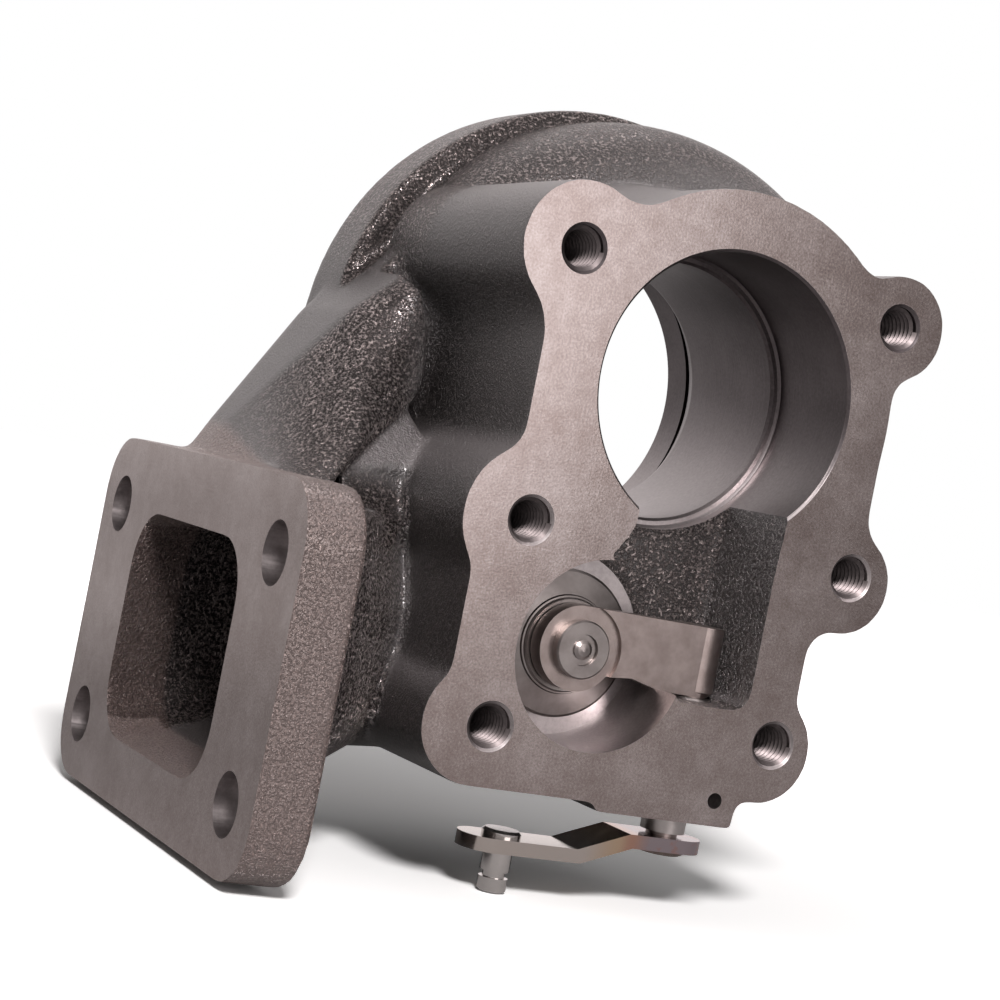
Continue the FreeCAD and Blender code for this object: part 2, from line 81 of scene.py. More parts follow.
# %% [markdown]
# ## Camera
# The photograph was taken with a long lens from the left of the outlet face, with the part leaning
# a little. The place and turn were solved from the flange corners and bolt holes, so the camera
# is written down as the three directions it has: right, up and back.

# %% Camera
camera_data = bpy.data.cameras.new("camera")
camera_data.sensor_width = 36
camera_data.lens = 84.90
camera_data.shift_x = 0.00698
camera_data.clip_start = 0.01
camera_data.clip_end = 10
camera = bpy.data.objects.new("camera", camera_data)
bpy.context.collection.objects.link(camera)
right = Vector((0.8803135, -0.4331493, 0.1934680))
up = Vector((-0.1698442, 0.0930160, 0.9810713))
back = Vector((-0.4429459, -0.8965098, 0.0083154))
turn = Matrix((right, up, back)).transposed().to_4x4()
turn.translation = Vector((-223.436, -366.264, -22.920)) * MM
camera.matrix_world = turn
bpy.context.scene.camera = camera
print("camera looks along", [round(-v, 2) for v in back])

# %% [markdown]
# ## A copy of the casting to work on
# A foundry pours the raw casting first and machines it afterwards. The visual piece is made in the
# same order, because it gives the same look: soft cast corners that are cut through by crisp
# machined edges. The CAD mesh is copied, its loose triangles are merged, and the faces that will
# be machined get a spare layer, as a foundry leaves one.

# %% Merged copy
def only(piece):
    """Select one object alone and make it active."""
    bpy.ops.object.select_all(action="DESELECT")
    bpy.context.view_layer.objects.active = piece
    piece.select_set(True)


def merged_copy(node_name, name):
    only(frame["nodes"][node_name])
    bpy.ops.object.duplicate()
    copy = bpy.context.object
    copy.name = name
    bpy.ops.object.parent_clear(type="CLEAR_KEEP_TRANSFORM")
    bpy.ops.object.mode_set(mode="EDIT")
    bpy.ops.mesh.select_all(action="SELECT")
    bpy.ops.mesh.remove_doubles(threshold=0.000002)
    bpy.ops.object.mode_set(mode="OBJECT")
    return copy


casting = merged_copy("housing", "casting")
print("casting copy", len(casting.data.vertices), "points")

# %% Spare layer on the machined faces
INLET_X = -84.0
BACK_Y = 77.5
SPARE = 1.5


def grow_face(test, move):
    """Extrude the faces that pass the test."""
    for item in list(casting.data.vertices) + list(casting.data.edges):
        item.select = False
    for face in casting.data.polygons:
        face.select = test(face.center / MM, face.normal)
    only(casting)
    bpy.ops.object.mode_set(mode="EDIT")
    bpy.context.tool_settings.mesh_select_mode = (False, False, True)
    bpy.ops.mesh.extrude_region_move(TRANSFORM_OT_translate={"value": Vector(move) * MM})
    bpy.ops.object.mode_set(mode="OBJECT")


grow_face(lambda c, n: abs(c.y) < 0.001 and n.y < -0.99, (0, -SPARE, 0))
grow_face(lambda c, n: abs(c.x - INLET_X) < 0.001 and n.x < -0.99, (-SPARE, 0, 0))
grow_face(lambda c, n: abs(c.y - BACK_Y) < 0.001 and n.y > 0.99, (0, SPARE, 0))
print("spare layers", SPARE, "mm")

# %% [markdown]
# ## Webs beside the neck
# Two thin webs of iron close the hollow between the neck and the middle column, so the casting
# pattern can be drawn from the sand there. They could be boxes turned into place, but none of their
# faces is square to another, so a few corners are set down inside the iron on both sides and a
# convex hull is stretched over them. The remesh then melts them into the casting.

# %% Webs between the neck and the middle column
UPPER_WEB = [(-46.8, 36.0, -12.0), (-61.5, 24.6, -25.8), (-43.0, 32.0, -17.5), (-46.5, 26.0, -24.0),
             (-41.0, 51.0, -16.0), (-56.0, 38.0, -24.0), (-46.0, 42.0, -30.0)]
LOWER_WEB = [(-62.0, 24.0, -26.5), (-60.0, 20.5, -38.0), (-50.0, 20.5, -38.0), (-46.3, 27.5, -25.5),
             (-45.5, 28.0, -38.0), (-56.0, 38.0, -30.0), (-46.0, 42.0, -34.0)]


def hull(name, corners):
    """Closed body stretched over a few corners, in mm."""
    mesh = bpy.data.meshes.new(name)
    mesh.from_pydata([tuple(v * MM for v in corner) for corner in corners], [], [])
    piece = bpy.data.objects.new(name, mesh)
    bpy.context.collection.objects.link(piece)
    only(piece)
    bpy.ops.object.mode_set(mode="EDIT")
    bpy.ops.mesh.select_all(action="SELECT")
    bpy.ops.mesh.convex_hull()
    bpy.ops.mesh.normals_make_consistent(inside=False)
    bpy.ops.object.mode_set(mode="OBJECT")
    return piece


webs = [hull("upper_web", UPPER_WEB), hull("lower_web", LOWER_WEB)]
print("webs", [len(web.data.polygons) for web in webs], "faces")

# %% [markdown]
# ## Plugs
# A raw casting has no drilled holes. Each hole and bore is stopped with a plug that is joined to
# the casting. Round plugs are cylinders, stepped ones are a profile spun round the bore's axis.

# %% Cylinder and lathe helpers
def rod(centre, direction, radius, start, end, sides=40):
    """Cylinder along a direction, from start to end as measured from the centre, in mm."""
    along = Vector(direction)
    middle = (Vector(centre) + along * (start + end) / 2) * MM
    bpy.ops.mesh.primitive_cylinder_add(
        vertices=sides, radius=radius * MM, depth=(end - start) * MM, location=middle,
        rotation=along.to_track_quat("Z", "Y").to_euler())
    bpy.ops.object.transform_apply(location=True, rotation=True, scale=True)
    return bpy.context.object


def lathe(name, profile, centre=(0, 0), steps=96):
    """Profile of (radius, y) points spun round an axis along Y through the centre (x, z)."""
    mesh = bpy.data.meshes.new(name)
    points = [(radius * MM, y * MM, 0) for radius, y in profile]
    mesh.from_pydata(points, [(i, i + 1) for i in range(len(points) - 1)], [])
    piece = bpy.data.objects.new(name, mesh)
    bpy.context.collection.objects.link(piece)
    only(piece)
    bpy.ops.object.mode_set(mode="EDIT")
    bpy.ops.mesh.select_all(action="SELECT")
    bpy.ops.mesh.spin(steps=steps, angle=2 * math.pi, center=(0, 0, 0), axis=(0, 1, 0))
    bpy.ops.mesh.select_all(action="SELECT")
    bpy.ops.mesh.remove_doubles(threshold=0.000001)
    bpy.ops.mesh.normals_make_consistent(inside=False)
    bpy.ops.object.mode_set(mode="OBJECT")
    piece.location = (centre[0] * MM, 0, centre[1] * MM)
    bpy.ops.object.transform_apply(location=True, rotation=True, scale=True)
    return piece


def join(pieces, name):
    only(pieces[0])
    for piece in pieces:
        piece.select_set(True)
    if len(pieces) > 1:
        bpy.ops.object.join()
    pieces[0].name = name
    return pieces[0]


# %% Where the holes are
OUTLET_HOLES = [(-34.46, 19.9), (34.1, 19.7), (34.2, -28.0), (24.3, -61.3), (-34.4, -65.3),
                (-34.4, -28.5)]
THREAD_R = 4.02
CORE_R = 3.4
LOCATING_HOLE = (14.1, -73.0)
LOCATING_R = 1.5
INLET_HOLES = [(32.8 + side * 42.4, -62.1 + level * 20.8) for side in (-1, 1)
               for level in (-1, 1)]
INLET_R = 5.5
BACK_CIRCLE_R = 48.9
BACK_ANGLES = [math.radians(60 * number + 30) for number in range(6)]
BACK_HOLES = [(BACK_CIRCLE_R * math.cos(angle), BACK_CIRCLE_R * math.sin(angle))
              for angle in BACK_ANGLES]
PORT = (-15.1, -50.1)
PORT_R = 10.5
PORT_END = 40
MOUTH_R = 17.4
SEAT_Y = 19
SHAFT = (11.8, 12.3)
BUSH_R = 4.25
BORE = [(26.25, 0.5), (26.25, 23.2), (25.75, 23.7), (24.95, 23.7), (24.45, 24.3), (24.45, 54.0),
        (24.60, 54.6), (24.90, 55.2), (25.3, 56.2), (27.2, 60.0), (30.5, 61.5), (42.0, 61.5),
        (42.0, 67.4), (30.7, 67.4), (30.7, 75.0), (43.0, 75.0)]
print(len(OUTLET_HOLES) + len(INLET_HOLES) + len(BACK_HOLES) + 1, "drilled holes")

# %% Plugs joined to the casting
SHORT = 0.15
bore_plug = [(0, -SPARE)] + [(r - SHORT, y) for r, y in [(BORE[0][0], -SPARE)] + BORE[1:]]
back_end = BACK_Y + SPARE
port_plug = [(0, -SPARE), (MOUTH_R - SHORT, -SPARE), (MOUTH_R - SHORT, SEAT_Y + 0.2),
             (PORT_R - 0.2, SEAT_Y + 0.2), (PORT_R - 0.2, PORT_END - 0.5), (0, PORT_END - 0.5)]

plugs = [rod((x, 0, z), (0, 1, 0), 4.9, -SPARE, 21.5) for x, z in OUTLET_HOLES]
plugs.append(rod((LOCATING_HOLE[0], 0, LOCATING_HOLE[1]), (0, 1, 0), LOCATING_R + 0.4, -SPARE, 7))
plugs += [rod((INLET_X, y, z), (1, 0, 0), INLET_R + 0.4, -SPARE, 10.95) for y, z in INLET_HOLES]
plugs += [rod((x, 0, z), (0, 1, 0), CORE_R + 0.3, 67, back_end) for x, z in BACK_HOLES]
plugs.append(rod((SHAFT[0], SHAFT[1], 0), (0, 0, 1), BUSH_R + 0.25, -77.7, -56.4))
plugs.append(lathe("bore_plug", bore_plug + [(BORE[-1][0] - SHORT, back_end), (0, back_end)]))
plugs.append(lathe("port_plug", port_plug, PORT))
casting = join([casting] + plugs + webs, "casting")
print("casting with plugs", len(casting.data.vertices), "points")

# %% [markdown]
# ## The foundry's soft shape
# A voxel remesh melts everything into one closed skin, and a few rounds of smoothing round off
# each inner and outer corner, as a sand mould does. Decimate then drops the points that flat
# places don't need, and leaves two triangles for each quad that is kept. A Bevel modifier could
# round the edges too, but it breaks where many small faces meet, as they do between the neck and
# the scroll.

# %% Remesh, smooth and thin out
def add_modifier(piece, kind, **settings):
    only(piece)
    modifier = piece.modifiers.new(kind.lower(), kind)
    for name, value in settings.items():
        setattr(modifier, name, value)
    bpy.ops.object.modifier_apply(modifier=modifier.name)


VOXEL = 0.8
KEPT_QUADS = 75000
add_modifier(casting, "REMESH", mode="VOXEL", voxel_size=VOXEL * MM)
print("remeshed", len(casting.data.polygons), "faces")
add_modifier(casting, "SMOOTH", factor=0.5, iterations=12)
add_modifier(casting, "DECIMATE", ratio=KEPT_QUADS / len(casting.data.polygons))
print("thinned", len(casting.data.polygons), "triangles")

# %% [markdown]
# ## Machining
# Now the cutters: three blocks face off the flanges and the back, drills make the holes, two
# stepped lathe tools bore the wheel bore and the valve mouth, and a prism clears the pocket.
# Boolean difference with the manifold solver is quick and keeps the mesh closed. The outlet holes
# are cut at the full thread size, and the threads are put in as pieces later.

# %% Cutters
def block(low, high):
    low, high = Vector(low) * MM, Vector(high) * MM
    bpy.ops.mesh.primitive_cube_add(size=1, location=(low + high) / 2, scale=high - low)
    bpy.ops.object.transform_apply(location=True, rotation=True, scale=True)
    return bpy.context.object


def prism(name, outline, start, end):
    """Outline of (x, z) points drawn out along Y."""
    mesh = bpy.data.meshes.new(name)
    mesh.from_pydata([(x * MM, start * MM, z * MM) for x, z in outline], [],
                     [tuple(range(len(outline)))])
    piece = bpy.data.objects.new(name, mesh)
    bpy.context.collection.objects.link(piece)
    only(piece)
    bpy.ops.object.mode_set(mode="EDIT")
    bpy.ops.mesh.select_all(action="SELECT")
    bpy.ops.mesh.extrude_region_move(TRANSFORM_OT_translate={"value": (0, (end - start) * MM, 0)})
    bpy.ops.mesh.select_all(action="SELECT")
    bpy.ops.mesh.normals_make_consistent(inside=False)
    bpy.ops.object.mode_set(mode="OBJECT")
    return piece


def cut(piece, tool):
    add_modifier(piece, "BOOLEAN", operation="DIFFERENCE", solver="MANIFOLD", object=tool)
    bpy.data.objects.remove(tool)


cut(casting, join([block((-60, -9, -120), (75, 0, 75)),
                   block((-100, -30, -120), (INLET_X, 95, 75)),
                   block((-72, BACK_Y, -80), (75, 90, 75))], "facing_blocks"))
print("faced off", len(casting.data.polygons))

# %% Drills
# A hole at thread size with a cone at its mouth and a drill point at its end.
DRILL = [(0, -3), (7.6, -3), (THREAD_R, 0.55), (THREAD_R, 17.5), (CORE_R, 18.1), (CORE_R, 20),
         (0, 21.4)]

drills = [lathe("drill", DRILL, hole, 48) for hole in OUTLET_HOLES]
drills.append(rod((LOCATING_HOLE[0], 0, LOCATING_HOLE[1]), (0, 1, 0), LOCATING_R, -5, 6, 24))
drills += [rod((INLET_X, y, z), (1, 0, 0), INLET_R, -5, 22, 64) for y, z in INLET_HOLES]
drills += [rod((x, 0, z), (0, 1, 0), CORE_R, 67.5, 85, 40) for x, z in BACK_HOLES]
drills.append(rod((SHAFT[0], SHAFT[1], 0), (0, 0, 1), BUSH_R, -83, -50, 40))
cut(casting, join(drills, "drills"))
print("drilled", len(casting.data.polygons))

# %% Boring tools
cut(casting, lathe("bore_tool", [(0, -3), (29.75, -3)] + BORE + [(43, 82), (0, 82)], steps=144))
cut(casting, prism("pocket_tool", [(-13.4, -30), (-13.5, -14), (18.1, -14), (17.3, -34)], -3, 20.7))
cut(casting, lathe("port_tool", [(0, -3), (MOUTH_R, -3), (MOUTH_R, SEAT_Y), (PORT_R, SEAT_Y),
                                 (PORT_R, PORT_END), (0, PORT_END)], PORT))
only(casting)
bpy.ops.object.shade_smooth_by_angle(angle=math.radians(38))
print("bored", len(casting.data.polygons))

# %% [markdown]
# ## Which faces were machined
# The finishes differ: the flange faces were milled, the bores were turned, and the rest is as
# cast. Each face of the casting is given its slot by where it lies and which way it looks.

# %% Slots of the casting
CAST, MILLED, TURNED = 0, 1, 2


def slot_of(centre, normal):
    radius = math.hypot(centre.x, centre.z)
    if abs(centre.y) < 0.02 or abs(centre.x - INLET_X) < 0.02 or abs(centre.y - BACK_Y) < 0.02:
        return MILLED
    for y, z in INLET_HOLES:
        if centre.x < -60 and math.hypot(centre.y - y, centre.z - z) < INLET_R + 0.1:
            return TURNED
    for x, z in OUTLET_HOLES + [LOCATING_HOLE]:
        if abs(normal.y) < 0.9 and centre.y < 22 and math.hypot(centre.x - x, centre.z - z) < 4.8:
            return TURNED
    for x, z in BACK_HOLES:
        if abs(normal.y) < 0.9 and centre.y > 67 and math.hypot(centre.x - x, centre.z - z) < 3.6:
            return TURNED
    inward = centre.x * normal.x + centre.z * normal.z < 0.2 * radius
    along_profile = inward and any(
        min(a[1], b[1]) - 0.05 < centre.y < max(a[1], b[1]) + 0.05
        and min(a[0], b[0]) - 0.06 < radius < max(a[0], b[0]) + 0.03
        for a, b in zip([(26.9, 0.0)] + BORE, BORE + [(43.0, BACK_Y)]))
    if along_profile:
        return TURNED
    from_port = math.hypot(centre.x - PORT[0], centre.z - PORT[1])
    on_mouth = abs(from_port - MOUTH_R) < 0.1
    on_seat = abs(centre.y - SEAT_Y) < 0.05 and from_port < MOUTH_R + 0.1
    if centre.y < SEAT_Y + 0.1 and (on_mouth or on_seat):
        return TURNED
    if SEAT_Y < centre.y < PORT_END + 0.1 and abs(from_port - PORT_R) < 0.1:
        return TURNED
    return CAST

# %% [markdown]
# ## Threads
# Each outlet hole is tapped for a coarse eight millimetre screw. A thread is a small tooth wound
# up a helix, so one tooth section is drawn and the Screw modifier winds it. It could be faked with
# a bump, but the camera looks into four of the holes and the crests catch the light.

# %% One thread, wound and copied into the holes
PITCH = 1.25
TURNS = 14


def wind_thread(name, hole):
    mesh = bpy.data.meshes.new(name)
    root, crest = THREAD_R + 0.12, CORE_R
    section = [(root, -0.60), (root, 0.60), (crest, 0.08), (crest, -0.08)]
    mesh.from_pydata([(r * MM, 0, h * MM) for r, h in section], [(0, 1), (1, 2), (2, 3), (3, 0)], [])
    piece = bpy.data.objects.new(name, mesh)
    bpy.context.collection.objects.link(piece)
    add_modifier(piece, "SCREW", axis="Z", screw_offset=PITCH * MM, iterations=TURNS, steps=36,
                 render_steps=36, use_merge_vertices=False, use_smooth_shade=True)
    bpy.ops.object.mode_set(mode="EDIT")
    bpy.context.tool_settings.mesh_select_mode = (False, True, False)
    bpy.ops.mesh.select_all(action="DESELECT")
    bpy.ops.mesh.select_non_manifold()
    bpy.ops.mesh.fill_holes(sides=4)
    bpy.ops.mesh.select_all(action="SELECT")
    bpy.ops.mesh.normals_make_consistent(inside=False)
    bpy.ops.object.mode_set(mode="OBJECT")
    piece.rotation_euler = (math.radians(-90), 0, 0)
    piece.location = (hole[0] * MM, 0.85 * MM, hole[1] * MM)
    bpy.ops.object.transform_apply(location=True, rotation=True, scale=True)
    bpy.ops.object.shade_smooth_by_angle(angle=math.radians(30))
    return piece


threads = [wind_thread("thread_%d" % number, hole) for number, hole in enumerate(OUTLET_HOLES, 1)]
print("threads", len(threads), "of", len(threads[0].data.polygons), "faces")

# %% [markdown]
# ## Writing materials as sums
# Node trees are easier to read as arithmetic. A small class wraps one socket, and its operators
# add Math nodes. One method adds any other node from its type, settings and inputs.

# %% Socket class
class Socket:
    """A node output that can be added, multiplied and compared like a number."""

    def __init__(self, tree, output):
        self.tree = tree
        self.output = output

    def node(self, kind, settings=None, out=0, **inputs):
        """Add any node. Inputs are named by their label with spaces as underscores."""
        made = self.tree.nodes.new(kind)
        for name, value in (settings or {}).items():
            setattr(made, name, value)
        for label, value in inputs.items():
            wanted = label.replace("_", " ")
            if wanted.startswith("in") and wanted[2:].isdigit():
                target = made.inputs[int(wanted[2:])]
            else:
                target = made.inputs[wanted]
            if isinstance(value, Socket):
                self.tree.links.new(value.output, target)
            else:
                target.default_value = value
        return Socket(self.tree, made.outputs[out])

    def math(self, operation, other=0.0):
        return self.node("ShaderNodeMath", {"operation": operation}, in0=self, in1=other)

    def __add__(self, other):
        return self.math("ADD", other)

    def __sub__(self, other):
        return self.math("SUBTRACT", other)

    def __mul__(self, other):
        return self.math("MULTIPLY", other)

    def __rsub__(self, other):
        return (self * -1.0) + other

    __radd__ = __add__
    __rmul__ = __mul__

    def step(self, low, high):
        """Smooth change from 0 at low to 1 at high."""
        return self.node("ShaderNodeMapRange", {"interpolation_type": "SMOOTHSTEP"}, in0=self,
                         in1=low, in2=high, in3=0.0, in4=1.0)

    def mix(self, low, high):
        """Colour from low to high as this value goes from 0 to 1."""
        return self.node("ShaderNodeMix", {"data_type": "RGBA"}, out=2, in0=self, in6=low, in7=high)

    def grey(self, tint=(1.0, 1.0, 1.0)):
        """Colour of this brightness, times a tint."""
        return self.node("ShaderNodeCombineXYZ", in0=self * tint[0], in1=self * tint[1],
                         in2=self * tint[2])

    def part(self, axis):
        split = self.node("ShaderNodeSeparateXYZ", in0=self)
        return Socket(self.tree, split.output.node.outputs[axis])

    def stretch(self, scale):
        return self.node("ShaderNodeMapping", Vector=self, Scale=scale)

    def noise(self, scale, detail=3.0, roughness=0.55):
        return self.node("ShaderNodeTexNoise", Vector=self, Scale=scale, Detail=detail,
                         Roughness=roughness)


class Finish:
    """A material with one Principled shader; place is Object coordinates in millimetres."""

    def __init__(self, name, **constants):
        self.material = bpy.data.materials.new(name)
        self.material.use_nodes = True
        self.tree = self.material.node_tree
        self.shader = self.tree.nodes["Principled BSDF"]
        coordinates = self.tree.nodes.new("ShaderNodeTexCoord")
        metres = Socket(self.tree, coordinates.outputs["Object"])
        self.place = metres.stretch((1 / MM,) * 3)
        geometry = self.tree.nodes.new("ShaderNodeNewGeometry")
        self.normal = Socket(self.tree, geometry.outputs["Normal"])
        for label, value in constants.items():
            self.shader.inputs[label.replace("_", " ")].default_value = value

    def feed(self, label, value):
        self.tree.links.new(value.output, self.shader.inputs[label])

    def bump(self, height, depth_mm):
        """Heights of 0 to 1 become a relief of the given depth."""
        self.feed("Normal", height.node("ShaderNodeBump", Strength=1.0, Distance=depth_mm * MM,
                                        Height=height))


# %% [markdown]
# ## Cast skin
# Sand-cast iron is nearly black with a slight sheen of oil. Where the sand core or the parting was
# rough, the skin is a field of grains under a millimetre wide; the columns and the side wall are
# much smoother, and what looks up is painted paler, a painted sheen in place of the light that
# falls on the tops. A painted mask could tell the places apart,
# but here where a point lies and which way the surface looks say enough, so one material has a
# roughness map worked out from both. The grains are a fine noise cut off at a level: what stands
# above it is rubbed bright, and the same noise feeds a Bump.

# %% Cast skin material
skin = Finish("cast_skin", IOR=2.1)
x, y, z = (skin.place.part(axis) for axis in range(3))
face_x, face_y, face_z = (skin.normal.part(axis) for axis in range(3))
from_axis = (x * x + z * z).math("SQRT")
neck_side = (1.0 - x.step(-50.0, -43.0)) * (1.0 - face_y.step(-0.35, -0.1)) * x.step(-74.5, -73.0)
above_ridge = z - x * 0.93 - 32.2
smooth_web = (1.0 - above_ridge.step(-3.0, -1.0)) * z.step(-30.0, -25.0) * x.step(-64.0, -60.0)
neck_side = neck_side * (1.0 - smooth_web)
scroll_top = from_axis.step(38.0, 41.0) * y.step(38.0, 44.0) * z.step(8.0, 30.0) * 0.7
rim_front = from_axis.step(49.5, 51.5) * y.step(58.0, 59.5) * (1.0 - face_y.step(-0.7, -0.4))
pocket = (1.0 - y.step(21.5, 22.5)) * x.step(-30.0, -26.0) * (1.0 - x.step(18.8, 20.0))
pocket = pocket * z.step(-58.0, -56.5) * (1.0 - z.step(-14.0, -12.0))
pocket = pocket * (1.0 - (face_x * -1.0).step(0.4, 0.8) * 0.85)
flange_edge = 1.0 - x.step(-73.5, -72.0)
rough_map = (neck_side + scroll_top + rim_front * 1.2 + pocket + flange_edge * 0.45).math(
    "MINIMUM", 1.0)
lumps = skin.place.noise(1.6, 3.0, 0.6)
grain = lumps.step(0.48, 0.63)
speck = skin.place.noise(2.6, 2.0, 0.5).step(0.50, 0.64)
patchy = skin.place.noise(0.12, 3.0, 0.6)
skin.bump(grain * (rough_map * 1.2 + 0.13) + speck * (rough_map * 0.35 + 0.10), 0.60)
dark = rough_map.mix((0.0150, 0.0130, 0.0130, 1), (0.0240, 0.0205, 0.0200, 1))
crest = rough_map.mix((0.060, 0.053, 0.052, 1), (0.520, 0.455, 0.440, 1))
iron = (grain * 0.75 + speck * 0.35).math("MINIMUM", 1.0).mix(dark, crest)
# Painted sheen: faces that look up are painted paler, less so towards the back and not on the rough
# zones, in place of the light that falls on the tops.
painted_top_sheen = face_z.step(0.15, 0.95) * (1.0 - rough_map) * (speck * 0.3 + 0.7)
painted_top_sheen = painted_top_sheen * (1.0 - y.step(30.0, 44.0) * 0.75)
iron = painted_top_sheen.mix(iron, (0.150, 0.138, 0.140, 1))
skin.feed("Base Color", (flange_edge * (speck * 0.4 + 0.45)).mix(iron, (0.32, 0.245, 0.225, 1)))
skin.feed("Metallic", rough_map * 0.85 - pocket * 0.35)
skin.feed("Roughness", patchy * 0.12 + 0.27 - grain * rough_map * 0.06)
print("cast skin", len(skin.tree.nodes), "nodes")

# %% [markdown]
# ## Machined faces
# Freshly milled iron is a warm grey metal. The flange faces carry faint strokes from the cutter,
# a fine grit and cloudy brown marks from handling; the bores carry rings from turning, and are
# painted pale at the bottom and dark towards the top as painted light and shade. The metal is fully
# metallic. Strokes and rings could be cut as grooves, but they are a few hundredths of a millimetre
# deep, so a noise stretched along the cut is enough.

# %% Milled and turned materials
milled = Finish("milled_iron", Metallic=1.0)
cloud = milled.place.noise(0.06, 4.0, 0.6)
strokes = milled.place.stretch((0.9, 1.0, 0.12)).noise(3.0, 3.0, 0.6)
grit = milled.place.noise(2.3, 2.0, 0.6)
spots = milled.place.noise(0.35, 5.0, 0.65)
tone = cloud * 0.8 + spots * 0.6 + strokes * 0.08 + grit * 1.0 - 0.86
milled.feed("Base Color", tone.step(0.0, 0.9).mix((0.27, 0.222, 0.208, 1), (0.47, 0.425, 0.415, 1)))
milled.feed("Roughness", grit * 0.08 + cloud * 0.10 + 0.14)
milled.bump(strokes * 0.3 + grit, 0.012)

turned = Finish("turned_iron", Metallic=1.0)
rings = turned.place.stretch((0.02, 1.0, 0.02)).noise(5.5, 2.0, 0.5)
cloud = turned.place.noise(0.09, 3.0, 0.6)
# Painted light and shade: the bore colour runs from pale at the bottom to dark towards the top, with
# a cloudy edge, in place of the light that falls on the lower walls. Both the dull tone and the
# polished tone carry it.
painted_bore_shade = (turned.place.part(2) + cloud * 12.0).step(-20.0, 8.0)
worn = painted_bore_shade.mix((0.34, 0.314, 0.314, 1), (0.100, 0.088, 0.090, 1))
bright = painted_bore_shade.mix((0.47, 0.438, 0.438, 1), (0.145, 0.130, 0.133, 1))
grit = turned.place.noise(1.6, 3.0, 0.6)
polish = (cloud * 0.5 + rings * 0.3 + grit * 0.5).step(0.45, 0.85)
turned.feed("Base Color", polish.mix(worn, bright))
turned.feed("Roughness", rings * 0.16 + 0.28)
turned.bump(rings + grit * 0.4, 0.025)

threaded = Finish("tapped_iron", Metallic=1.0, Roughness=0.42)
swarf = threaded.place.noise(1.2)
threaded.feed("Base Color", swarf.mix((0.05, 0.045, 0.045, 1), (0.17, 0.15, 0.15, 1)))

casting.data.materials.clear()
for finish in (skin, milled, turned):
    casting.data.materials.append(finish.material)
counts = [0, 0, 0]
for face in casting.data.polygons:
    face.material_index = slot_of(face.center / MM, face.normal)
    counts[face.material_index] += 1
for thread in threads:
    thread.data.materials.append(threaded.material)
print("cast, milled and turned faces", counts)

# %% [markdown]
# ## Steel parts of the bypass valve
# The arm is heat-proof steel with a satin, slightly blasted skin. The flap and its washer are
# turned, the bush and the pin are brighter. The lever is pressed strip that was tinted by the heat
# of welding, straw first and blue-grey next to the bead. Their shapes are right in the CAD part,
# so they only get finishes: one function makes the plain ones, and the lever has its own.

# %% Satin and bright steel
def steel(name, low, high, roughness, relief):
    finish = Finish(name, Metallic=1.0)
    grains = finish.place.noise(4.0, 3.0, 0.55)
    cloud = finish.place.noise(0.25, 3.0, 0.6)
    finish.feed("Base Color", cloud.step(0.25, 0.75).mix(low, high))
    finish.feed("Roughness", grains * 0.10 + cloud * 0.08 + roughness)
    finish.bump(grains, relief)
    return finish


arm_steel = steel("satin_arm_steel", (0.27, 0.228, 0.215, 1), (0.37, 0.318, 0.300, 1), 0.26, 0.03)
valve_steel = steel("turned_valve_steel", (0.24, 0.218, 0.210, 1), (0.33, 0.305, 0.295, 1), 0.22,
                    0.008)
bush_steel = steel("bush_steel", (0.42, 0.39, 0.38, 1), (0.52, 0.49, 0.48, 1), 0.22, 0.008)
pin_steel = steel("pin_steel", (0.55, 0.53, 0.52, 1), (0.66, 0.64, 0.62, 1), 0.06, 0.003)
weld_steel = steel("weld_steel", (0.14, 0.11, 0.10, 1), (0.30, 0.24, 0.20, 1), 0.34, 0.10)

lever_steel = Finish("heat_tinted_lever_steel", Metallic=1.0)
x = lever_steel.place.part(0)
straw = x.step(-8.0, 0.0).mix((0.58, 0.53, 0.49, 1), (0.58, 0.44, 0.31, 1))
rose = x.step(-0.5, 2.5).mix(straw, (0.50, 0.30, 0.23, 1))
tint = x.step(2.5, 6.5).mix(rose, (0.36, 0.31, 0.33, 1))
blush = lever_steel.place.noise(0.45, 3.0, 0.6).step(0.50, 0.64) * x.step(4.0, 8.0)
grains = lever_steel.place.noise(2.4, 2.0, 0.5)
lever_steel.feed("Base Color", (blush * 0.6).mix(tint, (0.42, 0.24, 0.21, 1)))
lever_steel.feed("Roughness", grains * 0.06 + 0.08)
lever_steel.bump(grains, 0.006)

for node_name, finish in [("wastegate_arm", arm_steel), ("flap_valve", valve_steel),
                          ("valve_washer", valve_steel), ("shaft_bushing", bush_steel),
                          ("lever_pin", pin_steel), ("crank_lever", lever_steel),
                          ("lever_weld", weld_steel)]:
    piece = frame["nodes"][node_name]
    piece.data.materials.clear()
    piece.data.materials.append(finish.material)
print("steel finishes on", len(frame["nodes"]) - 1, "CAD nodes")

# %% [markdown]
# ## Floor and light
# A pale floor lies just under the lowest point. It and the world are white to the camera. The key
# lamp stands high at the left in front, a wide weak one is low in front, and one hangs over the
# part. That one is flagged off the floor, as a studio does with a board, so that the shadow stays
# dark. Metal shows what is around it, so the room is dark on the camera's side and white only low
# down behind the part, and the floor far behind bounces more than the floor at the part's foot.

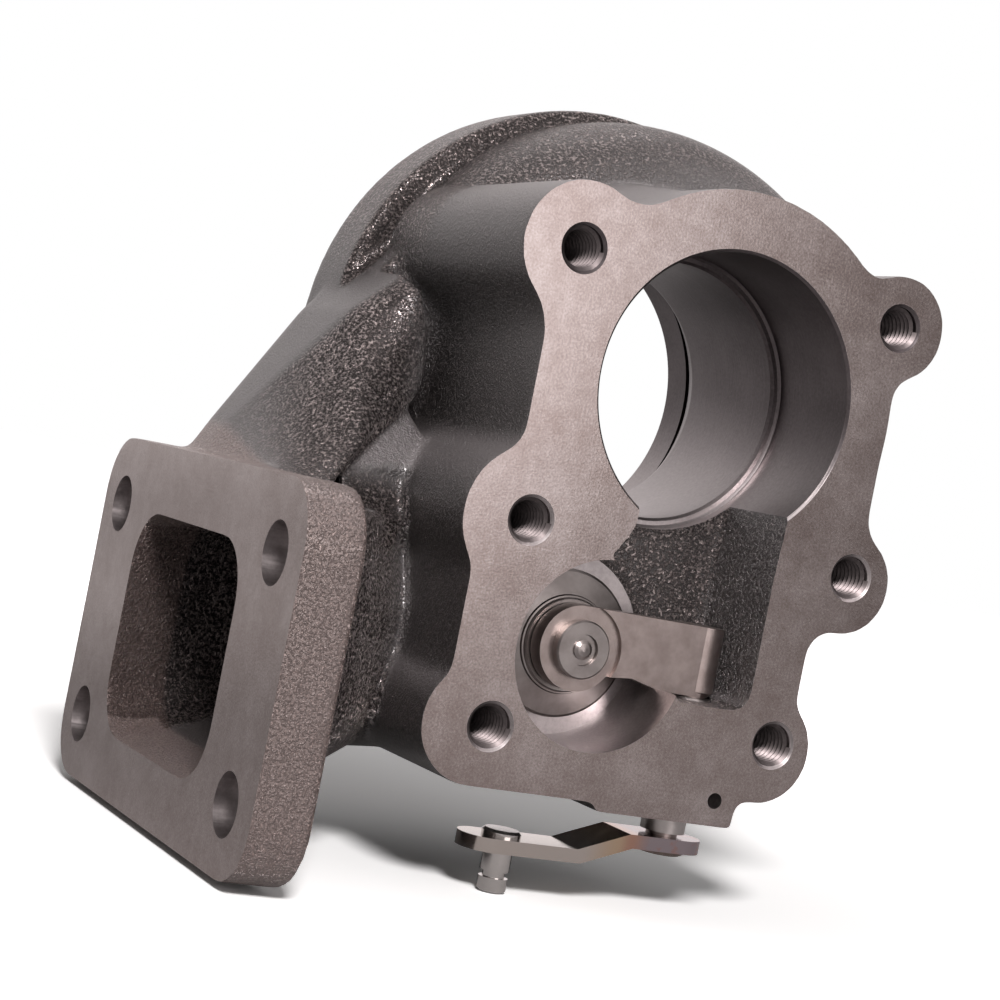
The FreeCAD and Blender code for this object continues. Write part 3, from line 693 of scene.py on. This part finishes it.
# %% Floor
FLOOR_AHEAD = 0.4
bpy.ops.mesh.primitive_plane_add(size=6, location=(0, FLOOR_AHEAD, cad_box[0][2] - 0.2 * MM))
floor = bpy.context.object
floor.name = "floor"
paper = bpy.data.materials.new("white_paper")
paper.use_nodes = True
paper_shader = paper.node_tree.nodes["Principled BSDF"]
paper_shader.inputs["Roughness"].default_value = 0.9
paper_shader.inputs["Specular IOR Level"].default_value = 0.0
light_path = Socket(paper.node_tree, paper.node_tree.nodes.new("ShaderNodeLightPath").outputs[0])
spot = Socket(paper.node_tree, paper.node_tree.nodes.new("ShaderNodeTexCoord").outputs[3])
across, along = spot.part(0), spot.part(1) + FLOOR_AHEAD
far_white = ((across * across + along * along) * 13.0 + 1.22).math("MINIMUM", 5.0)
far_bounce = along.step(0.15, 0.70) + 0.46
white = light_path.mix(far_bounce.grey(), far_white.grey((1.0, 1.05, 1.05)))
paper.node_tree.links.new(white.output, paper_shader.inputs["Base Color"])
floor.data.materials.append(paper)
print("floor at z", round(cad_box[0][2] / MM - 0.2, 1), "mm")

# %% World
WARM = (1.0, 0.93, 0.925)
world = bpy.data.worlds.new("studio")
world.use_nodes = True
bpy.context.scene.world = world
backdrop = world.node_tree.nodes["Background"]
paths = world.node_tree.nodes.new("ShaderNodeLightPath")
seen = Socket(world.node_tree, paths.outputs["Is Camera Ray"])
shiny = Socket(world.node_tree, paths.outputs["Is Glossy Ray"])
direction = Socket(world.node_tree, world.node_tree.nodes.new("ShaderNodeTexCoord").outputs[0])
to_right = direction.part(0).step(-0.52, -0.32) * 0.71 + 0.29
behind = direction.part(1).step(0.0, 0.75) * to_right
above = direction.part(2).step(0.1, 0.9)
level_band = 1.0 - direction.part(2).step(0.35, 0.90)
room = above * (shiny * 0.44 + 0.18) + shiny * 0.24 + 0.09
level = (seen + shiny * behind * level_band * 0.95).math("MINIMUM", 1.0)
brightness = room * (1.0 - level) + level
tinted = seen.mix(brightness.grey(WARM), (1.0, 1.0, 1.0, 1))
world.node_tree.links.new(tinted.output, backdrop.inputs["Color"])
backdrop.inputs["Strength"].default_value = 1.0
print("world", len(world.node_tree.nodes), "nodes")

# %% Lamps
def soft_lamp(name, place, power, size):
    lamp = bpy.data.lights.new(name, "AREA")
    lamp.shape = "DISK"
    lamp.size = size
    lamp.energy = power
    lamp.color = WARM
    holder = bpy.data.objects.new(name, lamp)
    bpy.context.collection.objects.link(holder)
    holder.location = place
    aim = Vector((0, 0.03, -0.02)) - holder.location
    holder.rotation_euler = aim.to_track_quat("-Z", "Y").to_euler()
    return holder


lamps = [soft_lamp("key_lamp", (-0.36, -0.88, 0.60), 15, 0.24),
         soft_lamp("overhead_lamp", (0.05, 0.35, 0.85), 2.2, 0.60),
         soft_lamp("front_lamp", (0.21, -1.0, 0.14), 2.2, 0.64)]
flag = bpy.data.collections.new("floor_flag")
flag.objects.link(floor)
flag.collection_objects[0].light_linking.link_state = "EXCLUDE"
lamps[1].light_linking.receiver_collection = flag
print("lamps", [(lamp.name, lamp.data.energy) for lamp in lamps])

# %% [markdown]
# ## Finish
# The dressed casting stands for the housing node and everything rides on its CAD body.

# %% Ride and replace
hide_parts("housing")
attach(casting, "housing")
for thread in threads:
    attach(thread, "housing")
bpy.context.scene.view_settings.view_transform = "Standard"
